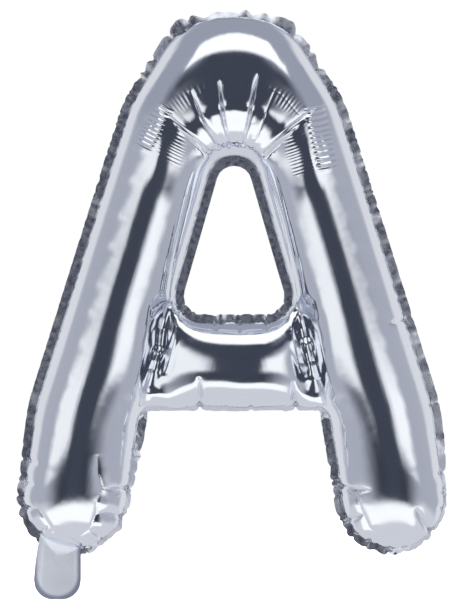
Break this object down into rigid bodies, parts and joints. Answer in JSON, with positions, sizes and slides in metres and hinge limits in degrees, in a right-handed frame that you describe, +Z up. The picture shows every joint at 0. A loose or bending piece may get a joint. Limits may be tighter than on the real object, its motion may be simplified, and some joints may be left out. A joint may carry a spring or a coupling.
{
  "type": "letter foil balloon",
  "caption": "Air-filled metallised film balloon shaped as a capital A, with welded puckered edges and a filling tail that folds at the foot.",
  "frame": {"origin": "top of the letter, in the middle of the welded band, where a hanging thread is taped", "axes": "+Z up, -Y out of the front face, +X to the right seen from the front"},
  "size_m": [0.2796, 0.0742, 0.3784],
  "materials": {
    "foil": "mirror-bright metallised film with a cool tint, smooth and creased",
    "weld": "two plies of metallised film heat-welded flat, slightly duller, puckered",
    "tail": "flat satin metallised film",
    "valve": "thin clear valve film"
  },
  "bodies": {
    "envelope": {"front_foil_panel": "foil", "back_foil_panel": "foil", "outer_seam_band": "weld", "counter_seam_band": "weld"},
    "tail": {"filling_tail_front": "tail", "filling_tail_back": "tail", "valve_film": "valve"}
  },
  "joints": [
    {"name": "tail_fold", "type": "hinge", "parent": "envelope", "child": "tail", "pos_m": [-0.113, 0, -0.353], "axis": [1, 0, 0], "range_deg": [-100, 100]}
  ]
}
